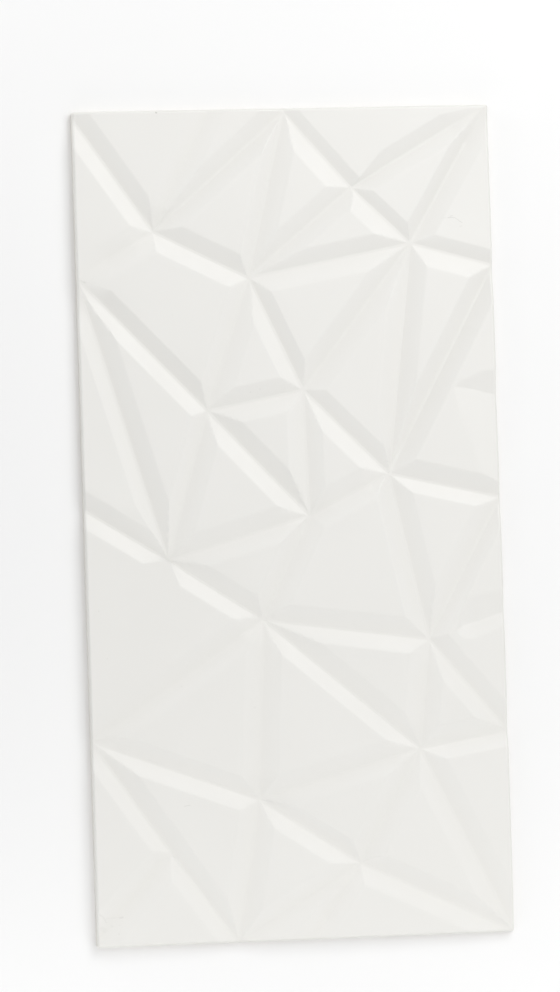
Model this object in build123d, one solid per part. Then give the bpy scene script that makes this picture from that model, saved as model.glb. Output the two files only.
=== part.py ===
from build123d import *
import os

# Relief wall tile: one pressed, glazed and fired ceramic piece, lying face up.
# Origin at the centre of the back face, +Z out of the glazed face,
# +Y along the long side towards the tile's top edge, +X to the right seen from the front.

WIDTH = 308.0          # mm, along X
HEIGHT = 608.0         # mm, along Y
THICK = 10.0           # mm, back face to the flat facets
RELIEF = 3.0           # mm, depth of the valleys below the flat facets
VALLEY_HALF = 12.0     # mm, run of each valley flank, measured square to the valley line
EDGE_RUN = 2.2         # mm, run of the eased edge round the face
EDGE_STEEP = 0.75      # mm, run of its outer, steep part
EDGE_RISE = 0.75       # share of the relief that the steep part rises through
CORNER_R = 1.8         # mm, radius of the four corners in plan

Z_TOP = THICK
Z_LOW = THICK - RELIEF

# Ends of the valley lines, in mm from the face's top left corner: x to the right, y down.
NODES = {
    "TL": (0.0, 4.8), "W1": (100.5, 0.0), "C0": (155.8, 0.0), "C": (155.8, 3.0), "F": (307.3, 0.0),
    "A": (57.2, 88.6), "B": (126.3, 123.6), "D": (204.2, 59.1), "E": (247.3, 101.0),
    "G": (0.0, 121.2), "L": (308.0, 118.2), "I": (164.3, 206.6), "H": (93.1, 220.1),
    "J": (165.8, 298.5), "K": (226.1, 269.5), "O": (0.0, 290.0), "M": (308.0, 288.8),
    "N": (60.8, 328.5), "P": (129.5, 373.9), "Q": (251.6, 391.5), "T": (0.0, 458.3),
    "R": (308.0, 460.2), "S": (242.5, 471.4), "U": (122.3, 504.5), "Z": (56.1, 541.0),
    "X": (195.5, 553.3), "V": (104.0, 608.0), "V2": (158.0, 608.0), "Y": (308.0, 607.6),
    "BL": (0.0, 602.0),
    "c00": (0.0, 0.0), "c10": (308.0, 0.0), "c11": (308.0, 608.0), "c01": (0.0, 608.0),
}

# Facets between the valley lines. A side that lies on the tile's outline is an eased edge,
# every other side is a valley flank.
FACETS = [
    "TL c00 W1 A", "A W1 C0 C", "A C B", "C D B", "C C0 F D", "D F E", "D E B", "F c10 L E",
    "TL A G", "A B H G", "B E I", "B I H", "E L K", "E K I", "I K J", "H I J", "H J N", "G H N",
    "G N O", "L M K", "K M Q", "J K Q P", "N J P", "O N P T", "M R Q", "P Q S", "Q R S", "P S U",
    "T P U", "S R Y", "S Y X", "U S X", "U X V", "X V2 V", "X Y c11 V2", "T U V Z", "T Z BL",
    "Z V c01 BL",
]

# Two short folds that run out through the right hand edge: tip on the facet, then the point
# where the fold line meets the edge (RELIEF deep there), then the two places along the edge
# where its upper and lower sides come back up to the flat facet.
FOLDS = [
    ((276.7, 206.8), 213.4, 195.0, 262.0),
    ((266.0, 388.4), 374.0, 355.0, 388.0),
]


def to_tile(p, z):
    """Face coordinates (from the top left corner) to the tile's own frame."""
    return (p[0] - WIDTH / 2, HEIGHT / 2 - p[1], z)


def on_edge(p, q):
    """True where the side p-q lies on the tile's outline."""
    for axis, limit in ((0, 0.0), (0, WIDTH), (1, 0.0), (1, HEIGHT)):
        if abs(p[axis] - limit) < 1e-9 and abs(q[axis] - limit) < 1e-9:
            return True
    return False


def side_planes(p, q, inside):
    """Height fraction over a facet's side: 0 on the side, 1 at the top of its flank.
    An eased edge has two planes, a steep one at the outline and a shallow one behind it."""
    dx, dy = q[0] - p[0], q[1] - p[1]
    size = (dx * dx + dy * dy) ** 0.5
    a, b = -dy / size, dx / size
    c = -(a * p[0] + b * p[1])
    if a * inside[0] + b * inside[1] + c < 0:
        a, b, c = -a, -b, -c
    if not on_edge(p, q):
        return [(a / VALLEY_HALF, b / VALLEY_HALF, c / VALLEY_HALF)]
    steep = EDGE_RISE / EDGE_STEEP
    soft = (1.0 - EDGE_RISE) / (EDGE_RUN - EDGE_STEEP)
    return [(a * steep, b * steep, c * steep), (a * soft, b * soft, c * soft + 1.0 - soft * EDGE_RUN)]


def clip(poly, half):
    """Part of a convex polygon where a*x + b*y + c >= 0."""
    a, b, c = half
    out = []
    for k, p in enumerate(poly):
        q = poly[(k + 1) % len(poly)]
        hp = a * p[0] + b * p[1] + c
        hq = a * q[0] + b * q[1] + c
        if hp >= -1e-9:
            out.append(p)
        if (hp > 1e-9 and hq < -1e-9) or (hp < -1e-9 and hq > 1e-9):
            t = hp / (hp - hq)
            out.append((p[0] + t * (q[0] - p[0]), p[1] + t * (q[1] - p[1])))
    clean = []
    for p in out:
        if not clean or abs(p[0] - clean[-1][0]) + abs(p[1] - clean[-1][1]) > 1e-6:
            clean.append(p)
    if len(clean) > 1 and abs(clean[0][0] - clean[-1][0]) + abs(clean[0][1] - clean[-1][1]) < 1e-6:
        clean.pop()
    return clean


def flat_face(points):
    return Face(Wire.make_polygon([Vector(*p) for p in points], close=True))


faces = []
for facet in FACETS:
    ring = [NODES[n] for n in facet.split()]
    mid = (sum(p[0] for p in ring) / len(ring), sum(p[1] for p in ring) / len(ring))
    sides = [plane for k in range(len(ring)) for plane in side_planes(ring[k], ring[(k + 1) % len(ring)], mid)]
    # flat middle of the facet
    flat = list(ring)
    for a, b, c in sides:
        flat = clip(flat, (a, b, c - 1.0)) if len(flat) > 2 else []
    if len(flat) > 2:
        faces.append(flat_face([to_tile(p, Z_TOP) for p in flat]))
    # one flank for each valley side, two for each side on the outline
    for k, (a, b, c) in enumerate(sides):
        flank = clip(list(ring), (-a, -b, 1.0 - c))
        for j, (a2, b2, c2) in enumerate(sides):
            if j != k and len(flank) > 2:
                flank = clip(flank, (a2 - a, b2 - b, c2 - c))
        if len(flank) > 2:
            faces.append(flat_face([
                to_tile(p, Z_LOW + RELIEF * max(0.0, min(1.0, a * p[0] + b * p[1] + c))) for p in flank
            ]))

# Straight sides, with the ends of the valley lines along their upper edges, and the back.
for axis, limit in ((0, 0.0), (0, WIDTH), (1, 0.0), (1, HEIGHT)):
    upper = sorted((p for p in NODES.values() if abs(p[axis] - limit) < 1e-9), key=lambda p: p[1 - axis])
    faces.append(flat_face(
        [to_tile(p, Z_LOW) for p in upper] + [to_tile(upper[-1], 0.0), to_tile(upper[0], 0.0)]
    ))
faces.append(flat_face([to_tile(NODES[n], 0.0) for n in ("c00", "c10", "c11", "c01")]))

tile = Solid(Shell(faces))

# The two folds: a wedge with its lower edge along the fold line, carried on past the edge.
for tip, y_fold, y_up, y_down in FOLDS:
    def along(y_edge, z_edge, reach):
        return (tip[0] + (WIDTH - tip[0]) * reach, tip[1] + (y_edge - tip[1]) * reach,
                Z_TOP + (z_edge - Z_TOP) * reach)
    reach = 1.4
    fold = along(y_fold, Z_LOW, reach)
    up = along(y_up, Z_TOP, reach)
    down = along(y_down, Z_TOP, reach)
    # both flanks are carried up past the facet, so the wedge cuts clear of it
    lift = 1.0
    back = -lift / (Z_TOP - Z_LOW)
    apex = along(y_fold, Z_LOW, back)
    rise_up = (Z_TOP + lift - fold[2]) / (Z_TOP - fold[2])
    up2 = tuple(fold[k] + (up[k] - fold[k]) * rise_up for k in range(3))
    down2 = tuple(fold[k] + (down[k] - fold[k]) * rise_up for k in range(3))
    pts = [to_tile(p[:2], p[2]) for p in (apex, fold, up2, down2)]
    wedge = Solid(Shell([flat_face([pts[i] for i in tri]) for tri in ((0, 1, 2), (0, 1, 3), (0, 2, 3), (1, 2, 3))]))
    tile = tile - wedge

# Corners eased in plan.
blank = extrude(RectangleRounded(WIDTH, HEIGHT, CORNER_R), amount=THICK + 1)
tile = tile & blank
tile = tile.solids()[0]

print("volume cm3", round(tile.volume / 1000, 2), "faces", len(tile.faces()), "valid", tile.is_valid)

os.makedirs("parts", exist_ok=True)
export_step(tile, "parts/tile.step")
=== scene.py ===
import math

import bpy
import numpy as np
from mathutils import Matrix, Vector
from mathutils.geometry import delaunay_2d_cdt


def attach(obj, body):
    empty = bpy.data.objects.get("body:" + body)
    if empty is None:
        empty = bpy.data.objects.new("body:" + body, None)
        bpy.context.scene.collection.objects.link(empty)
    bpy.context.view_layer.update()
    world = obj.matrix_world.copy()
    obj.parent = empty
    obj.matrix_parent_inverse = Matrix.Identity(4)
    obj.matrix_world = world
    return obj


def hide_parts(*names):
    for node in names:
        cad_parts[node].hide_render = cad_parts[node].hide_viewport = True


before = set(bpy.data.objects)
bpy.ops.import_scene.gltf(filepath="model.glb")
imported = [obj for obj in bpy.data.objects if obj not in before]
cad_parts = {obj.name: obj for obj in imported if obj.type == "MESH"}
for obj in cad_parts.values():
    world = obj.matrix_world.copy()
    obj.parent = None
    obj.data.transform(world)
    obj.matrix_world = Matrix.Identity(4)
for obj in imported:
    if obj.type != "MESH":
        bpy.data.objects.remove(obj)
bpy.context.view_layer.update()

# ---------------------------------------------------------------------------
# The tile: one glazed relief tile, lying face up. Lengths in mm here.
# Face coordinates run from the face's top left corner, x right and y down.
# ---------------------------------------------------------------------------

W, H = 308.0, 608.0
Z_TOP = 10.0
CORNER_R = 1.8
EDGE_R = 2.2                  # quarter round all along the face's outline

DEEP = 3.0                    # usual depth of a valley below the plates beside it
FLANK = 11.5                  # usual run of a flank, square to its valley line
JOIN = 18.0                   # run over which a valley comes to the depth of the node at its end

# ends of the valley lines
NODES = {
    "TL": (0.0, 4.8), "W1": (100.5, 0.0), "C0": (155.8, 0.0), "C": (155.8, 3.0), "F": (307.3, 0.0),
    "A": (57.2, 88.6), "B": (126.3, 123.6), "D": (204.2, 59.1), "E": (247.3, 101.0), "G": (0.0, 121.2),
    "L": (308.0, 118.2), "I": (164.3, 206.6), "H": (93.1, 220.1), "J": (165.8, 298.5), "K": (226.1, 269.5),
    "O": (0.0, 290.0), "M": (308.0, 288.8), "N": (60.8, 328.5), "P": (129.5, 373.9), "Q": (251.6, 391.5),
    "T": (0.0, 458.3), "R": (308.0, 460.2), "S": (242.5, 471.4), "U": (122.3, 504.5), "Z": (56.1, 541.0),
    "X": (195.5, 553.3), "V": (104.0, 608.0), "V2": (158.0, 608.0), "Y": (308.0, 607.6), "BL": (0.0, 602.0),
    "c00": (0.0, 0.0), "c10": (308.0, 0.0), "c11": (308.0, 608.0), "c01": (0.0, 608.0),
}

# depth of the valleys that are not DEEP, by their two ends
DEPTHS = {
    "A-W1": 1.4, "A-TL": 3.72, "A-C": 2.81, "A-B": 4.29, "B-D": 3.19, "E-F": 4.05, "B-E": 3.15, "E-L": 3.36,
    "A-G": 1.4, "B-H": 2.6, "G-H": 4.2, "E-I": 3.68, "B-I": 3.81, "K-L": 4.42, "E-K": 4.12, "I-K": 3.74, "J-K": 1.8,
    "I-J": 3.19, "H-J": 4.44, "J-N": 1.96, "G-N": 3.47, "N-O": 3.97, "K-M": 4.36, "M-Q": 3.26, "K-Q": 4.05,
    "P-Q": 3.61, "J-P": 2.83, "N-P": 3.57, "P-T": 1.4, "Q-S": 2.68, "P-S": 4.03, "R-S": 4.42, "S-U": 1.5,
    "P-U": 1.81, "T-U": 3.79, "S-Y": 2.25, "X-Y": 3.71, "S-X": 2.6, "U-X": 4.43, "V-X": 2.6, "BL-Z": 2.2,
    "V2-X": 1.8, "B-C": 3, "C-D": 3.13, "D-F": 3.31, "D-E": 2.92, "H-I": 3.47, "H-N": 3.01, "Q-R": 3.2, "T-Z": 3.31,
    "V-Z": 3.68, "U-V": 3.14,
}

# the facets: ring of nodes; then, for the flanks that differ, their run and how much lower the
# plate lies beside them; then a>b, the run over which the flank of a-b narrows towards a
FACETS = (
    "TL c00 W1 A; A-TL 12.5 0.3; A-W1 13.5 0",
    "A W1 C0 C; A-C 12.5 0; A-W1 11.5 0.21",
    "A C B; A-B 12.5 0.94; B-C 9.5 0; A-C 11.5 0.21",
    "C D B; B-C 13.5 0.19; B-D 12.5 0; C-D 13.5 0.6; C>D 16",
    "C C0 F D; C-D 9.5 0.86; D>F 34; F>D 34",
    "D F E; D-E 9.5 0; D-F 10.5 0.31; E-F 9.5 0",
    "D E B; B-D 11.5 0.74; B-E 12.5 0; D-E 13.5 0.53; D>E 12",
    "F c10 L E; E-F 12.5 1.6; E-L 10.5 0",
    "TL A G; A-G 12.5 0.23; A-TL 11.5 0.71",
    "A B H G; A-B 12.5 0; A-G 13.5 0; G-H 11.5 0.55; G>H 24",
    "B E I; B-E 13.5 0.87; B-I 10.5 0.6; E-I 12.5 0",
    "B I H; B-H 13.5 0.41; B-I 11.5 0.65; H-I 12.5 0; B>I 24",
    "E L K; E-K 13.5 0; E-L 13.5 0.35; K-L 11.5 0.21",
    "E K I; E-I 13.5 0.97; E-K 13.5 0.82; I-K 11.5 0.57; K>E 45",
    "I K J; I-J 12.5 0.19; I-K 12.5 0.3; J-K 13.5 0.4",
    "H I J; H-I 13.5 0.01; H-J 12.5 0.95; I-J 13.5 0",
    "H J N; H-J 12.5 0; H-N 13.5 0; J-N 13.5 0.07",
    "G H N; G-N 13.5 0; H-N 10.5 0.01; G>N 45",
    "G N O; G-N 10.5 1.6; N-O 12.5 0; N>G 45",
    "L M K; K-L 12.5 0; K-M 13.5 0",
    "K M Q; K-M 10.5 0.74; K-Q 13.5 1.14; M-Q 13.5 0.48",
    "J K Q P; J-K 12.5 0; J-P 13.5 0; K-Q 13.5 0; P-Q 13.5 1.16; K>J 16",
    "N J P; J-N 12.5 0; J-P 11.5 0.13; N-P 12.5 0.93",
    "O N P T; P-T 13.5 0; N>O 15; N>P 17; P>N 16; N-O 11.5 0.56",
    "M R Q; M-Q 10.5 0; Q-R 12.5 0.67",
    "P Q S; P-Q 12.5 0; P-S 13.5 1.6; Q-S 13.5 1.6",
    "Q R S; Q-R 12.5 0.3; Q-S 12.5 0; R-S 13.5 1.57",
    "P S U; P-U 13.5 0; S-U 13.5 0",
    "T P U; P-T 12.5 0; P-U 13.5 0.81; T-U 11.5 0.48",
    "S R Y; S-Y 13.5 0.3",
    "S Y X; S-X 12.5 0.71; S-Y 13.5 0.59; X-Y 12.5 0",
    "U S X; S-U 11.5 0.6; S-X 12.5 0; U-X 10.5 1.28",
    "U X V; U-V 13.5 0.92; U-X 12.5 0.9",
    "X V2 V; V-X 13.5 0.6; V2-X 11.5 0.32",
    "X Y c11 V2; V2-X 10.5 0; X-Y 13.5 1.25",
    "T U V Z; T-U 12.5 0; T-Z 13.5 0; U-V 13.5 0.3; V-Z 12.5 0; Z>V 8",
    "T Z BL; BL-Z 12.5 0.4; T-Z 11.5 0.39",
    "Z V c01 BL; BL-Z 13.5 0; V-Z 12.5 1.47",
)


def on_border(p, q):
    for ax, lim in ((0, 0.0), (0, W), (1, 0.0), (1, H)):
        if abs(p[ax] - lim) < 1e-9 and abs(q[ax] - lim) < 1e-9:
            return True
    return False


class Side:
    """One side of a facet: its line, pointing into the facet, and the flank that rises from it."""

    def __init__(self, names, mid, special):
        self.names = names
        self.p, q = NODES[names[0]], NODES[names[1]]
        self.length = math.hypot(q[0] - self.p[0], q[1] - self.p[1])
        self.u = ((q[0] - self.p[0]) / self.length, (q[1] - self.p[1]) / self.length)
        a, b = -self.u[1], self.u[0]
        c = -(a * self.p[0] + b * self.p[1])
        if a * mid[0] + b * mid[1] + c < 0:
            a, b, c = -a, -b, -c
        self.line = (a, b, c)
        # the short stub between C and the top edge only closes the facet
        self.valley = not on_border(self.p, q) and set(names) != {"C0", "C"}
        key = "-".join(sorted(names))
        self.depth = DEPTHS.get(key, DEEP)
        self.run, self.drop = special.get(key, (FLANK, 0.0))
        self.narrow = (special.get(names[0] + ">" + names[1], (0.0,))[0],
                       special.get(names[1] + ">" + names[0], (0.0,))[0])

    def inward(self, x, y):
        return self.line[0] * x + self.line[1] * y + self.line[2]

    def along(self, x, y):
        return (x - self.p[0]) * self.u[0] + (y - self.p[1]) * self.u[1]

    def squeeze(self, s):
        """Share of its run that the flank keeps at s along the side."""
        k = np.ones_like(s)
        for n, e in zip(self.narrow, (s, self.length - s)):
            if n > 0:
                k = np.minimum(k, np.clip(e / n, 0.15, 1.0))
        return k


class Facet:
    def __init__(self, text):
        parts = [p.split() for p in text.split(";")]
        names = parts[0]
        special = {p[0]: tuple(float(v) for v in p[1:]) for p in parts[1:]}
        self.ring = [NODES[n] for n in names]
        mid = np.mean(np.array(self.ring), axis=0)
        n = len(names)
        self.sides = [Side((names[k], names[(k + 1) % n]), mid, special) for k in range(n)]
        self.valleys = [s for s in self.sides if s.valley]


facets = [Facet(f) for f in FACETS]

# where valleys meet they come to one depth
node_depth = {}
for name in NODES:
    d = sorted({s.names if s.names[0] < s.names[1] else s.names[::-1]: s.depth
                for f in facets for s in f.valleys if name in s.names}.values())
    if d:
        node_depth[name] = min(max(sum(d[-3:]) / len(d[-3:]), 2.4), 3.3)
# some valleys run out before they reach the outline
node_depth.update({"F": 0.1, "G": 0.1, "T": 1.2, "V2": 0.3, "W1": 1.4})
JOINS = {"F": 32.0, "G": 27.0}


def border_distance(x, y):
    """Distance in from the tile's outline, with its rounded corners."""
    qx = np.abs(x - W / 2) - (W / 2 - CORNER_R)
    qy = np.abs(y - H / 2) - (H / 2 - CORNER_R)
    out = np.hypot(np.maximum(qx, 0), np.maximum(qy, 0)) + np.minimum(np.maximum(qx, qy), 0)
    return CORNER_R - out


def smooth_min(a, b, k):
    h = np.maximum(k - np.abs(a - b), 0.0) / k
    return np.minimum(a, b) - h * h * k * 0.25


def smooth_step(v, lo, hi):
    t = np.clip((v - lo) / (hi - lo), 0.0, 1.0)
    return t * t * (3 - 2 * t)


def flank_rise(d, run):
    """0 on the valley line, 1 on the plate: narrow flat floor, straight flank, crisp shoulder."""
    dd = np.maximum(d - 0.75, 0.0)
    v = (np.sqrt(dd * dd + 0.09) - 0.3) / (run - 0.95)
    return smooth_min(v, np.ones_like(v), 0.12)


def relief(x, y):
    """Height under the highest plate; the distance from the valley line as a share of the flank's run;
    the slope of the plain flank there; and the share of its run that the flank keeps."""
    best = np.full(x.shape, -1e9)
    own = np.zeros(x.shape, int)
    for i, f in enumerate(facets):
        inside = np.min([s.inward(x, y) for s in f.sides], axis=0)
        take = inside > best
        best = np.where(take, inside, best)
        own = np.where(take, i, own)
    h = np.zeros(x.shape)
    share = np.full(x.shape, 9.0)
    kept = np.ones(x.shape)
    slope = np.zeros((2,) + x.shape)
    for i, f in enumerate(facets):
        m = own == i
        if not m.any():
            continue
        px_, py_ = x[m], y[m]
        rise = None
        w_sum = d_sum = q_sum = p_sum = 0.0
        for sd in f.valleys:
            s, d = sd.along(px_, py_), np.abs(sd.inward(px_, py_))
            depth = sd.depth
            for name, e in zip(sd.names, (s, sd.length - s)):
                depth = depth + (node_depth[name] - sd.depth) * np.clip(1 - e / JOINS.get(name, JOIN), 0, 1)
            sq = sd.squeeze(s)
            de = d / sq
            t = flank_rise(de, sd.run)
            pitch = (flank_rise(de + 0.02, sd.run) - flank_rise(np.abs(de - 0.02), sd.run)) / 0.04
            w = 1.0 / (de / sd.run + 0.03) ** 4
            w_sum, d_sum = w_sum + w, d_sum + w * depth
            w = 1.0 / (d + 4.0) ** 2
            q_sum, p_sum = q_sum + w, p_sum + w * sd.drop
            if rise is None:
                rise, near, keep_ = t, de / sd.run, sq
                gx_, gy_ = pitch * sd.line[0], pitch * sd.line[1]
                continue
            first = t < rise
            part = np.maximum(0.03 - np.abs(rise - t), 0.0) / 0.06
            part = np.where(first, 1 - part, part)
            gx_ = gx_ * (1 - part) + pitch * sd.line[0] * part
            gy_ = gy_ * (1 - part) + pitch * sd.line[1] * part
            keep_ = np.where(first, sq, keep_)
            near = np.minimum(near, de / sd.run)
            rise = smooth_min(rise, t, 0.03)
        deep = d_sum / w_sum
        low = p_sum / q_sum
        h[m] = -deep * (1 - rise) - low * rise
        share[m] = near
        kept[m] = keep_
        slope[0][m], slope[1][m] = gx_ * (deep - low), gy_ * (deep - low)
    return h, share, slope, kept


def bend(v, xs, ys):
    """Broken line through the points, eased a little at its corners."""
    return (np.interp(v - 1.5, xs, ys) + 2 * np.interp(v, xs, ys) + np.interp(v + 1.5, xs, ys)) / 4


# creases of the folds, and the run of the steeper flank of each, by x
FOLD_1 = ((270, 277, 284, 291, 298, 305, 310), (207.0, 207.5, 208.0, 209.5, 211.3, 213.2, 214.0))
FOLD_1_RUN = ((274, 277, 281, 288, 296, 302, 308, 312), (-2.0, 2.0, 5.5, 8.9, 14.5, 17.0, 18.7, 19.5))
FOLD_2 = ((262, 273, 278, 284, 290, 297, 302, 308, 312), (390.0, 385.0, 382.0, 380.5, 379.0, 376.5, 374.8, 373.5, 372.8))
FOLD_2_RUN = ((269, 271.5, 273, 276, 281, 286, 291, 297, 302, 308, 312),
              (-4.0, 0.5, 5.5, 11.0, 14.8, 15.2, 14.8, 14.3, 13.4, 13.0, 12.8))


def folds(x, y):
    """Height of the two short folds that run out through the right hand edge."""
    # upper fold: a crisp curved crease, an even flank above it and a long shallow one below
    crease = bend(x, *FOLD_1)
    width = bend(x, *FOLD_1_RUN)
    q = y - crease
    deep = 0.18 * width
    first = -deep + np.where(q < 0, -0.18 * q, 0.04 * q)
    # lower fold: an even flank below the crease, a wide shallow one above it, blunt at its inner end
    crease = bend(x, *FOLD_2)
    width = bend(x, *FOLD_2_RUN)
    q = y - crease
    deep = 0.15 * width
    second = -deep + np.where(q < 0, -0.115 * q, 0.15 * q)
    return first, second


def rounding(x, y):
    """Fall of the quarter round along the outline."""
    e = np.clip(border_distance(x, y), 0.0, None)
    u = np.clip(1.0 - e / EDGE_R, 0.0, 1.0)
    return EDGE_R * (1 - np.sqrt(np.maximum(1.0 - u * u, 0.0)))


def height(x, y):
    """Height of the glazed face over the back, in mm."""
    h = relief(x, y)[0]
    for f in folds(x, y):
        # each fold ends in a soft shoulder, and cuts into what lies under it
        f = smooth_min(f, np.zeros_like(f), 0.25)
        h = smooth_min(h, f, 0.06 + 1e-6)
    return np.minimum(Z_TOP + h - rounding(x, y), Z_TOP)


# ---- plan of the face mesh: rows along the valleys, loops along the edge ----

points, edges = [], []


def add_row(pts, closed=False):
    base = len(points)
    points.extend(pts)
    n = len(pts)
    edges.extend((base + k, base + k + 1) for k in range(n - 1))
    if closed:
        edges.append((base + n - 1, base))


def outline(inset, step):
    """Rounded rectangle, inset from the tile's outline."""
    r = max(CORNER_R - inset, 0.0)
    x0, x1, y0, y1 = inset, W - inset, inset, H - inset
    pts = []
    corners = (((x1 - r, y0 + r), -90), ((x1 - r, y1 - r), 0), ((x0 + r, y1 - r), 90), ((x0 + r, y0 + r), 180))
    arcs = []
    for (cx, cy), a0 in corners:
        if r > 0.05:
            arcs.append([(cx + r * math.cos(math.radians(a0 + 15 * k)), cy + r * math.sin(math.radians(a0 + 15 * k)))
                         for k in range(7)])
        else:
            arcs.append([(cx, cy)])
    for k in range(4):
        pts.extend(arcs[k])
        p, q = arcs[k][-1], arcs[(k + 1) % 4][0]
        n = max(2, int(round(math.hypot(q[0] - p[0], q[1] - p[1]) / step)))
        pts.extend((p[0] + (q[0] - p[0]) * j / n, p[1] + (q[1] - p[1]) * j / n) for j in range(1, n))
    return pts


for angle in range(0, 91, 15):
    add_row(outline(EDGE_R * (1 - math.cos(math.radians(angle))), 4.0), closed=True)
for inset in (2.7, 3.3, 4.0, 5.0):
    add_row(outline(inset, 5.0), closed=True)

# rows along each flank, at shares of its run
ROWS = (0.0, 0.045, 0.068, 0.092, 0.125, 0.19, 0.30, 0.48, 0.68, 0.85, 0.90, 0.95, 1.0, 1.05, 1.10, 1.15, 1.23)
RIM = 0.35


def row_point(sd, share, s):
    off = share * sd.run * sd.squeeze(s)
    return sd.p[0] + sd.u[0] * s + sd.line[0] * off, sd.p[1] + sd.u[1] * s + sd.line[1] * off


def room(f, sd, share, s):
    """Room that a point of a row has before the mitre with another flank, or the outline."""
    x, y = row_point(sd, share, s)
    g = border_distance(x, y) - RIM
    for o in f.sides:
        if o is sd:
            continue
        d = o.inward(x, y)
        g = np.minimum(g, d - share * o.run * o.squeeze(o.along(x, y)) if o.valley else d)
    return g


for f in facets:
    for sd in f.valleys:
        s = np.arange(-40.0, sd.length + 40.0, 0.5)
        for share in ROWS:
            free = room(f, sd, share, s) >= 0
            k = 0
            while k < len(s):
                if not free[k]:
                    k += 1
                    continue
                j = k
                while j + 1 < len(s) and free[j + 1]:
                    j += 1
                ends = []
                for a, b in ((s[k], s[k] - 0.5), (s[j], s[j] + 0.5)):
                    for _ in range(18):
                        mid = (a + b) / 2
                        if room(f, sd, share, np.array([mid]))[0] >= 0:
                            a = mid
                        else:
                            b = mid
                    ends.append(a)
                lo, span = ends[0], ends[1] - ends[0]
                if span > 0.6:
                    ts = {0.0, span}
                    for t in (0.9, 2.0, 3.4, 5.2, 7.6):
                        if t < span / 2:
                            ts.update((t, span - t))
                    if span > 16:
                        m = max(1, int(round((span - 15.2) / 5.0)))
                        ts.update(7.6 + (span - 15.2) * i / m for i in range(1, m))
                    for n, far in zip(sd.narrow, (0, 1)):
                        for e in (n, 0.15 * n):
                            t = (sd.length - e if far else e) - lo
                            if n > 0 and 0.5 < t < span - 0.5 and min(abs(t - v) for v in ts) > 0.4:
                                ts.add(t)
                    at = np.array([lo + t for t in sorted(ts)])
                    x, y = row_point(sd, share, at)
                    add_row(list(zip(x.tolist(), y.tolist())))
                k = j + 1

# rows along the creases and shoulders of the folds
x = np.arange(275.6, W - RIM, 1.4)
for k in (-0.9, -0.4, 0.0, 0.4, 0.9):
    add_row(list(zip(x.tolist(), (bend(x, *FOLD_1) + k).tolist())))
for k in (0.3, 0.6, 0.86, 0.93, 1.0, 1.07, 1.14):
    m = bend(x, *FOLD_1_RUN) * k > 1.4
    add_row(list(zip(x[m].tolist(), (bend(x, *FOLD_1) - bend(x, *FOLD_1_RUN) * k)[m].tolist())))
x = np.arange(271.6, W - RIM, 1.4)
for k in (-0.9, -0.4, 0.0, 0.4, 0.9):
    add_row(list(zip(x.tolist(), (bend(x, *FOLD_2) + k).tolist())))
for k in (0.3, 0.6, 0.86, 0.93, 1.0, 1.07, 1.14):
    m = bend(x, *FOLD_2_RUN) * k > 1.4
    add_row(list(zip(x[m].tolist(), (bend(x, *FOLD_2) + bend(x, *FOLD_2_RUN) * k)[m].tolist())))

# loose points: sparse on the plates, closer over the two folds
gx, gy = np.meshgrid(np.arange(8.0, W - 6, 9.0), np.arange(8.0, H - 6, 9.0))
gx = gx + np.where((np.arange(gx.shape[0]) % 2)[:, None] > 0, 4.5, 0.0)
gx, gy = gx.ravel(), gy.ravel()
keep = (relief(gx, gy)[1] > 1.5) & (border_distance(gx, gy) > 7.5)
points.extend(zip(gx[keep].tolist(), gy[keep].tolist()))
for x0, x1, y0, y1, step in ((271.0, 303.0, 188.0, 222.0, 1.9), (271.0, 303.0, 223.0, 270.0, 3.0),
                             (262.0, 303.0, 350.0, 403.0, 1.9)):
    gx, gy = np.meshgrid(np.arange(x0, x1, step), np.arange(y0, y1, step))
    gx = (gx + np.where((np.arange(gx.shape[0]) % 2)[:, None] > 0, step / 2, 0.0)).ravel()
    gy = gy.ravel()
    keep = (relief(gx, gy)[1] > 0.28) & (gx < x1)
    points.extend(zip(gx[keep].tolist(), gy[keep].tolist()))

out = delaunay_2d_cdt([Vector(p) for p in points], edges, [], 0, 1e-3, False)
xy = np.array([(v.x, v.y) for v in out[0]])
tris = [tuple(f) for f in out[2]]
# no part of the plan lies outside the outline
cent = np.array([xy[list(t)].mean(axis=0) for t in tris])
ok = border_distance(cent[:, 0], cent[:, 1]) > -1e-4
tris = [t for t, k in zip(tris, ok) if k]

px, py = xy[:, 0], xy[:, 1]
e_in = border_distance(px, py)
zf = height(px, py)
rim = e_in < 0.01
zf[rim] = height(px[rim], py[rim])
h_ = 0.04
sx = (height(px + h_, py) - height(px - h_, py)) / (2 * h_)
sy = (height(px, py + h_) - height(px, py - h_)) / (2 * h_)
# where a flank pinches out at a node the glaze keeps the plain flank's slope
_, _, plain, kept = relief(px, py)
pinch = kept < 0.999
ex = (rounding(px + h_, py) - rounding(px - h_, py)) / (2 * h_)
ey = (rounding(px, py + h_) - rounding(px, py - h_)) / (2 * h_)
sx, sy = np.where(pinch, plain[0] - ex, sx), np.where(pinch, plain[1] - ey, sy)
nrm = np.stack([-sx, sy, np.ones_like(sx)], axis=1)
nrm /= np.linalg.norm(nrm, axis=1)[:, None]
ex = (border_distance(px + 0.01, py) - border_distance(px - 0.01, py))
ey = (border_distance(px, py + 0.01) - border_distance(px, py - 0.01))
side = np.stack([-ex, ey, np.zeros_like(ex)], axis=1)
side /= np.maximum(np.linalg.norm(side, axis=1), 1e-9)[:, None]
nrm[rim] = side[rim]

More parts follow.
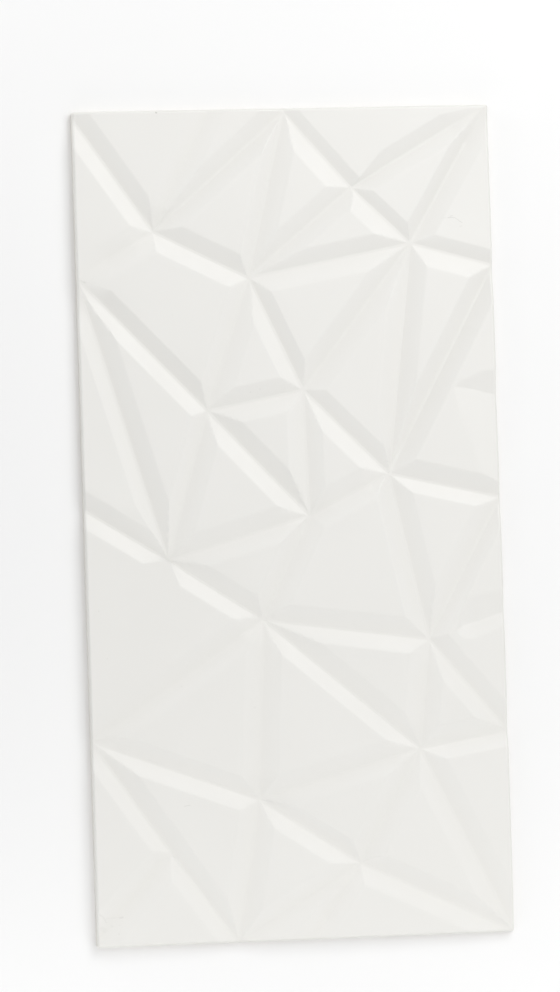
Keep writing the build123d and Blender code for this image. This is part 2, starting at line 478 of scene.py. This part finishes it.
# tile frame: +X right, +Y towards the top edge
verts = np.stack([px - W / 2, H / 2 - py, zf], axis=1).tolist()
normals = nrm.tolist()
pool = (1.0 - smooth_step(relief(px, py)[1], 0.05, 0.75)).tolist()
faces, mats = [], []
for t in tris:
    a, b, c = (verts[k] for k in t)
    up = (b[0] - a[0]) * (c[1] - a[1]) - (b[1] - a[1]) * (c[0] - a[0])
    if abs(up) < 1e-9:
        continue
    faces.append(t if up > 0 else (t[0], t[2], t[1]))
    mats.append(0)

# ---- sides: from the rim down to the back arris ----
# the rim is walked round the triangles' open edges, so it joins vertex to vertex
count = {}
for f in faces:
    for k in range(3):
        i, j = f[k], f[(k + 1) % 3]
        count[(i, j)] = count.get((i, j), 0) + 1
nxt = {i: j for (i, j) in count if (j, i) not in count}
start = next(iter(nxt))
loop, cur = [start], nxt[start]
while cur != start:
    loop.append(cur)
    cur = nxt[cur]
assert len(loop) == len(nxt), "the face has more than one open border"


def wobble(s, seed):
    """Slow irregular wave along the outline, -1 to 1."""
    v = 0.0
    for k, (wl, amp) in enumerate(((97.0, 0.5), (41.0, 0.3), (17.0, 0.2))):
        v += amp * math.sin(2 * math.pi * s / wl + seed * (k + 1) * 1.7)
    return v


arc, lengths = 0.0, []
for k, i in enumerate(loop):
    lengths.append(arc)
    j = loop[(k + 1) % len(loop)]
    arc += math.dist(verts[i][:2], verts[j][:2])

GLAZE_LAP = 3.9
side_rows = [loop]
side_norm = [verts[i] for i in loop]
for row, (inset, z, tilt) in enumerate((
    (0.0, None, 0.0), (0.03, None, 0.0), (0.16, None, 0.0), (0.2, 1.5, 0.0), (0.24, 0.85, -0.1),
    (0.36, 0.42, -0.5), (0.62, 0.12, -0.8), (0.95, 0.0, -1.0),
)):
    ids = []
    for k, i in enumerate(loop):
        n = normals[i]
        zz = z
        if zz is None:
            # the glaze laps a little way down the side and stops in an uneven line
            lap = min(GLAZE_LAP + 0.75 * wobble(lengths[k] * 97 * 18 / arc, 2.0), verts[i][2] - 0.9)
            zz = ((lap + verts[i][2]) / 2, lap, lap - 0.18)[row]
        ids.append(len(verts))
        verts.append([verts[i][0] - n[0] * inset, verts[i][1] - n[1] * inset, zz])
        m = math.sqrt(max(0.0, 1 - tilt * tilt))
        normals.append([n[0] * m, n[1] * m, tilt])
        pool.append(0.0)
    side_rows.append(ids)
for r in range(len(side_rows) - 1):
    top, low = side_rows[r], side_rows[r + 1]
    n = len(top)
    for k in range(n):
        k2 = (k + 1) % n
        faces.append((top[k], low[k], low[k2], top[k2]))
        mats.append(0 if r < 2 else 1)

# ---- back: a plain flat bed ----
b_pts = [tuple(verts[i][:2]) for i in side_rows[-1]]
b_ids = list(side_rows[-1])
b_edges = [(k, (k + 1) % len(b_pts)) for k in range(len(b_pts))]
b_pts.extend(((ci - 4.5) * 28.0, (ri - 10) * 28.0) for ci in range(10) for ri in range(21))
out = delaunay_2d_cdt([Vector(p) for p in b_pts], b_edges, [], 0, 1e-5, True)
index = []
for k, v in enumerate(out[0]):
    src = out[3][k][0] if out[3][k] else None
    if src is not None and src < len(b_ids):
        index.append(b_ids[src])
    else:
        index.append(len(verts))
        verts.append([v.x, v.y, 0.0])
        normals.append([0.0, 0.0, -1.0])
        pool.append(0.0)
for f in out[2]:
    t = tuple(index[k] for k in f)
    a, b, c = (verts[k] for k in t[:3])
    up = (b[0] - a[0]) * (c[1] - a[1]) - (b[1] - a[1]) * (c[0] - a[0])
    if abs(up) < 1e-9:
        continue
    faces.append(t if up < 0 else tuple(reversed(t)))
    mats.append(1)

mesh = bpy.data.meshes.new("wall_tile")
mesh.from_pydata([(v[0] / 1000, v[1] / 1000, v[2] / 1000) for v in verts], [], faces)
for p, m in zip(mesh.polygons, mats):
    p.material_index = m
    p.use_smooth = True
mesh.update()
att = mesh.attributes.new("pool", "FLOAT", "POINT")
att.data.foreach_set("value", np.array(pool, np.float32))
# shading normals from the worked-out surface; the back is flat
loop_normals = []
for p in mesh.polygons:
    back = p.normal.z < -0.3 and p.material_index == 1 and max(mesh.vertices[v].co.z for v in p.vertices) < 0.00072 \
        and abs(p.center.x) < 0.1531 and abs(p.center.y) < 0.3031
    for v in p.vertices:
        loop_normals.append(tuple(p.normal) if back else tuple(normals[v]))
mesh.normals_split_custom_set(loop_normals)
mesh.validate()

tile = bpy.data.objects.new("wall_tile", mesh)
bpy.context.scene.collection.objects.link(tile)
print("tile mesh", len(mesh.vertices), "verts", sum(len(p.vertices) - 2 for p in mesh.polygons), "triangles")

# ---------------------------------------------------------------------------
# Materials
# ---------------------------------------------------------------------------


class Nodes:
    """Small helper for building a node tree."""

    def __init__(self, name):
        self.mat = bpy.data.materials.new(name)
        self.mat.use_nodes = True
        self.tree = self.mat.node_tree
        self.bsdf = self.tree.nodes["Principled BSDF"]

    def new(self, kind, **props):
        n = self.tree.nodes.new(kind)
        for k, v in props.items():
            setattr(n, k, v)
        return n

    def link(self, a, b):
        self.tree.links.new(a, b)

    def math(self, op, a, b=None, clamp=False):
        n = self.new("ShaderNodeMath", operation=op, use_clamp=clamp)
        for k, v in enumerate((a, b)):
            if v is None:
                continue
            if isinstance(v, (int, float)):
                n.inputs[k].default_value = v
            else:
                self.link(v, n.inputs[k])
        return n.outputs[0]

    def noise(self, vec, scale, detail=2.0, rough=0.5):
        n = self.new("ShaderNodeTexNoise")
        n.inputs["Scale"].default_value = scale
        n.inputs["Detail"].default_value = detail
        n.inputs["Roughness"].default_value = rough
        self.link(vec, n.inputs["Vector"])
        return n.outputs["Fac"]

    def ramp(self, fac, lo, hi, to_lo=0.0, to_hi=1.0):
        n = self.new("ShaderNodeMapRange", interpolation_type="SMOOTHSTEP")
        n.inputs["From Min"].default_value = lo
        n.inputs["From Max"].default_value = hi
        n.inputs["To Min"].default_value = to_lo
        n.inputs["To Max"].default_value = to_hi
        self.link(fac, n.inputs["Value"])
        return n.outputs["Result"]

    def mix(self, fac, a, b):
        n = self.new("ShaderNodeMix", data_type="RGBA")
        for sock, v in ((n.inputs[0], fac), (n.inputs[6], a), (n.inputs[7], b)):
            if isinstance(v, (int, float)):
                sock.default_value = v
            elif isinstance(v, tuple):
                sock.default_value = (*v, 1.0)
            else:
                self.link(v, sock)
        return n.outputs[2]


g = Nodes("glaze_white_satin")
coord = g.new("ShaderNodeTexCoord").outputs["Object"]
bs = g.bsdf
GLAZE = (0.795, 0.787, 0.757)
GLAZE_DEEP = (0.788, 0.779, 0.746)
cloud = g.noise(coord, 14.0, 3.0)
base = g.mix(g.ramp(cloud, 0.35, 0.65), GLAZE, (0.801, 0.793, 0.764))
pool_n = g.new("ShaderNodeAttribute", attribute_name="pool")
base = g.mix(g.math("MULTIPLY", pool_n.outputs["Fac"], 0.8), base, GLAZE_DEEP)

# small marks on the glaze, in face mm: points, half width, strength
MARKS = (
    (((270.6, 83.0), (275.8, 82.8)), 0.24, 0.06),
    (((275.8, 82.8), (278.8, 82.5)), 0.36, 0.25),
    (((277.6, 81.7), (279.4, 81.1)), 0.32, 0.15),
    (((278.8, 82.5), (280.6, 82.9), (281.4, 83.3)), 0.34, 0.20),
    (((281.4, 83.3), (283.0, 84.4)), 0.30, 0.15),
    (((283.0, 84.4), (284.2, 85.5), (286.0, 86.5)), 0.34, 0.22),
    (((284.6, 89.4), (285.6, 89.2)), 0.60, 0.08),
    (((2.5, 584.0), (4.7, 585.6), (6.3, 588.3)), 0.70, 0.09),
    (((6.8, 586.8), (16.4, 586.4)), 0.50, 0.05),
    (((17.3, 586.7), (19.1, 586.3)), 0.65, 0.17),
    (((4.0, 594.2), (5.6, 595.4)), 1.60, 0.06),
    (((6.6, 589.4), (7.3, 589.6)), 0.55, 0.09),
    (((11.0, 592.5), (11.6, 592.6)), 0.65, 0.07),
    (((16.2, 592.0), (16.6, 592.1)), 0.50, 0.06),
    (((15.9, 598.2), (15.9, 598.6)), 0.50, 0.12),
    (((61.6, 1.7), (62.2, 1.7)), 0.50, 0.50),
    (((262.8, 195.4),), 0.40, 0.22),
    (((132.1, 205.2),), 0.40, 0.20),
    (((125.0, 207.3),), 0.45, 0.22),
    (((69.2, 149.7),), 0.36, 0.20),
    (((8.4, 363.9),), 0.36, 0.20),
    (((13.5, 398.5),), 0.36, 0.20),
    (((67.3, 420.4),), 0.42, 0.24),
    (((120.9, 437.5),), 0.42, 0.24),
    (((66.6, 507.5), (70.6, 506.9)), 0.30, 0.18),
)


def segment_group():
    """Mask of a soft line between two points, in the plane of the face."""
    t = bpy.data.node_groups.new("soft_line", "ShaderNodeTree")
    for label, kind in (("Point", "NodeSocketVector"), ("From", "NodeSocketVector"), ("Span", "NodeSocketVector"),
                        ("Inverse", "NodeSocketFloat"), ("Reach", "NodeSocketFloat")):
        t.interface.new_socket(label, in_out="INPUT", socket_type=kind)
    t.interface.new_socket("Mask", in_out="OUTPUT", socket_type="NodeSocketFloat")
    n_in, n_out = t.nodes.new("NodeGroupInput"), t.nodes.new("NodeGroupOutput")

    def vec(op, a, b):
        n = t.nodes.new("ShaderNodeVectorMath")
        n.operation = op
        t.links.new(a, n.inputs[0])
        if b is not None:
            t.links.new(b, n.inputs["Scale"] if op == "SCALE" else n.inputs[1])
        return n.outputs["Value"] if op in ("DOT_PRODUCT", "LENGTH") else n.outputs["Vector"]

    def num(op, a, b, clamp=False):
        n = t.nodes.new("ShaderNodeMath")
        n.operation, n.use_clamp = op, clamp
        t.links.new(a, n.inputs[0])
        t.links.new(b, n.inputs[1])
        return n.outputs[0]

    sub = vec("SUBTRACT", n_in.outputs["Point"], n_in.outputs["From"])
    at = num("MULTIPLY", vec("DOT_PRODUCT", sub, n_in.outputs["Span"]), n_in.outputs["Inverse"], clamp=True)
    gap = vec("SUBTRACT", sub, vec("SCALE", n_in.outputs["Span"], at))
    share = num("DIVIDE", vec("LENGTH", gap, None), n_in.outputs["Reach"])
    n = t.nodes.new("ShaderNodeMapRange")
    n.interpolation_type = "SMOOTHSTEP"
    for label, v in (("From Min", 0.5), ("From Max", 1.5), ("To Min", 1.0), ("To Max", 0.0)):
        n.inputs[label].default_value = v
    t.links.new(share, n.inputs["Value"])
    t.links.new(n.outputs["Result"], n_out.inputs["Mask"])
    return t


line_tree = segment_group()
jitter = g.new("ShaderNodeTexNoise")
jitter.inputs["Scale"].default_value = 700.0
jitter.inputs["Detail"].default_value = 1.0
g.link(coord, jitter.inputs["Vector"])
shake = g.new("ShaderNodeVectorMath", operation="MULTIPLY_ADD")
g.link(jitter.outputs["Color"], shake.inputs[0])
shake.inputs[1].default_value = (0.0007, 0.0007, 0.0)
flat = g.new("ShaderNodeVectorMath", operation="MULTIPLY_ADD")
g.link(coord, flat.inputs[0])
flat.inputs[1].default_value = (1.0, 1.0, 0.0)
flat.inputs[2].default_value = (-0.00035, -0.00035, 0.0)
g.link(flat.outputs["Vector"], shake.inputs[2])
marks = None
for pts, half, strength in MARKS:
    line = None
    for k in range(max(len(pts) - 1, 1)):
        p, q = pts[k], pts[min(k + 1, len(pts) - 1)]
        a = Vector(((p[0] - W / 2) / 1000, (H / 2 - p[1]) / 1000, 0.0))
        b = Vector(((q[0] - W / 2) / 1000, (H / 2 - q[1]) / 1000, 0.0))
        n = g.new("ShaderNodeGroup", node_tree=line_tree)
        g.link(shake.outputs["Vector"], n.inputs["Point"])
        n.inputs["From"].default_value = a
        n.inputs["Span"].default_value = b - a
        n.inputs["Inverse"].default_value = 1 / (b - a).length_squared if len(pts) > 1 else 0.0
        n.inputs["Reach"].default_value = half / 1000
        line = n.outputs["Mask"] if line is None else g.math("MAXIMUM", line, n.outputs["Mask"])
    line = g.math("MULTIPLY", line, strength)
    marks = line if marks is None else g.math("MAXIMUM", marks, line)
base = g.mix(marks, base, (0.40, 0.385, 0.36))
g.link(base, bs.inputs["Base Color"])
rough = g.ramp(g.noise(coord, 60.0, 2.0), 0.3, 0.7, 0.34, 0.40)
g.link(rough, bs.inputs["Roughness"])
bs.inputs["IOR"].default_value = 1.5
peel = g.noise(coord, 260.0, 2.0)
bump = g.new("ShaderNodeBump")
bump.inputs["Strength"].default_value = 0.12
bump.inputs["Distance"].default_value = 0.00006
g.link(peel, bump.inputs["Height"])
g.link(bump.outputs["Normal"], bs.inputs["Normal"])

c = Nodes("biscuit_body")
coord = c.new("ShaderNodeTexCoord").outputs["Object"]
grain = c.noise(coord, 900.0, 3.0, 0.6)
patch = c.noise(coord, 25.0, 3.0)
base = c.mix(c.ramp(patch, 0.3, 0.7), (0.74, 0.70, 0.63), (0.79, 0.76, 0.70))
base = c.mix(c.ramp(grain, 0.55, 0.75, 0.0, 0.35), base, (0.66, 0.61, 0.54))
c.link(base, c.bsdf.inputs["Base Color"])
c.bsdf.inputs["Roughness"].default_value = 0.82
bump = c.new("ShaderNodeBump")
bump.inputs["Strength"].default_value = 0.35
bump.inputs["Distance"].default_value = 0.0003
c.link(grain, bump.inputs["Height"])
c.link(bump.outputs["Normal"], c.bsdf.inputs["Normal"])

mesh.materials.append(g.mat)
mesh.materials.append(c.mat)

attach(tile, "root")
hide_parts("tile")

# ---------------------------------------------------------------------------
# Floor, light and camera
# ---------------------------------------------------------------------------

fm = bpy.data.meshes.new("floor")
R_ = 6.0
fm.from_pydata([(-R_, -R_, 0), (R_, -R_, 0), (R_, R_, 0), (-R_, R_, 0)], [], [(0, 1, 2, 3)])
floor = bpy.data.objects.new("floor", fm)
bpy.context.scene.collection.objects.link(floor)
f = Nodes("floor_pale")
f.bsdf.inputs["Base Color"].default_value = (0.905, 0.905, 0.903, 1)
f.bsdf.inputs["Roughness"].default_value = 0.9
f.bsdf.inputs["Specular IOR Level"].default_value = 0.2
fm.materials.append(f.mat)


def area(name, loc, aim, size, power, color=(1, 1, 1)):
    data = bpy.data.lights.new(name, "AREA")
    data.shape = "RECTANGLE"
    data.size, data.size_y = size
    data.energy = power
    data.color = color
    ob = bpy.data.objects.new(name, data)
    ob.location = loc
    ob.rotation_euler = (Vector(aim) - Vector(loc)).to_track_quat("-Z", "Y").to_euler()
    ob.visible_camera = False
    bpy.context.scene.collection.objects.link(ob)
    return ob


def soft(name, azimuth, elevation, reach, size, power):
    """Square soft box aimed at the tile's middle; azimuth runs clockwise from the tile's top edge."""
    a, e = math.radians(azimuth), math.radians(elevation)
    loc = (math.sin(a) * math.cos(e) * reach, math.cos(a) * math.cos(e) * reach, math.sin(e) * reach)
    return area(name, loc, (0, 0, 0), (size, size), power)


# a broad key from the upper right, weaker soft boxes round and over the tile, and an even pale surround
soft("key_top", 15, 40, 1.5, 0.5, 2.606)
soft("key_upper_right", 45, 40, 1.5, 0.5, 2.655)
soft("key_broad", 45, 50, 1.6, 0.8, 2.957)
soft("key_high", 15, 60, 1.8, 0.6, 1.775)
soft("over_right", 60, 70, 2.0, 0.9, 2.685)
soft("over_left", 300, 70, 2.0, 0.9, 3.043)
soft("fill_right", 90, 50, 1.6, 0.8, 1.563)
soft("fill_below", 180, 50, 1.6, 0.8, 1.808)
soft("graze_left", 315, 12, 1.0, 0.5, 1.604)
soft("near_below_right", 150, 25, 0.72, 0.4, 0.604)
soft("near_below_left", 210, 25, 0.72, 0.4, 0.702)

world = bpy.data.worlds.new("studio")
bpy.context.scene.world = world
world.use_nodes = True
world.node_tree.nodes["Background"].inputs["Color"].default_value = (1, 1, 1, 1)
world.node_tree.nodes["Background"].inputs["Strength"].default_value = 0.403

cam_data = bpy.data.cameras.new("camera")
cam = bpy.data.objects.new("camera", cam_data)
bpy.context.scene.collection.objects.link(cam)
cam_data.sensor_fit = "VERTICAL"
cam_data.sensor_height = 36.0
cam_data.lens = 36.0 * 5500 / 992
cam_data.clip_end = 50.0
rx, ry, rz = -0.025338516, 0.149695834, 0.028409095
rot = Matrix.Rotation(rz, 3, "Z") @ Matrix.Rotation(ry, 3, "Y") @ Matrix.Rotation(rx, 3, "X")
shift = Vector((0.008926769, -0.020172562, -4.027048929))
cam.matrix_world = Matrix.Translation(-(rot.transposed() @ shift)) @ rot.transposed().to_4x4()
bpy.context.scene.camera = cam

bpy.context.scene.view_settings.view_transform = "Standard"
bpy.context.scene.view_settings.look = "None"
bpy.context.scene.view_settings.exposure = 0.0
bpy.context.scene.view_settings.gamma = 1.0
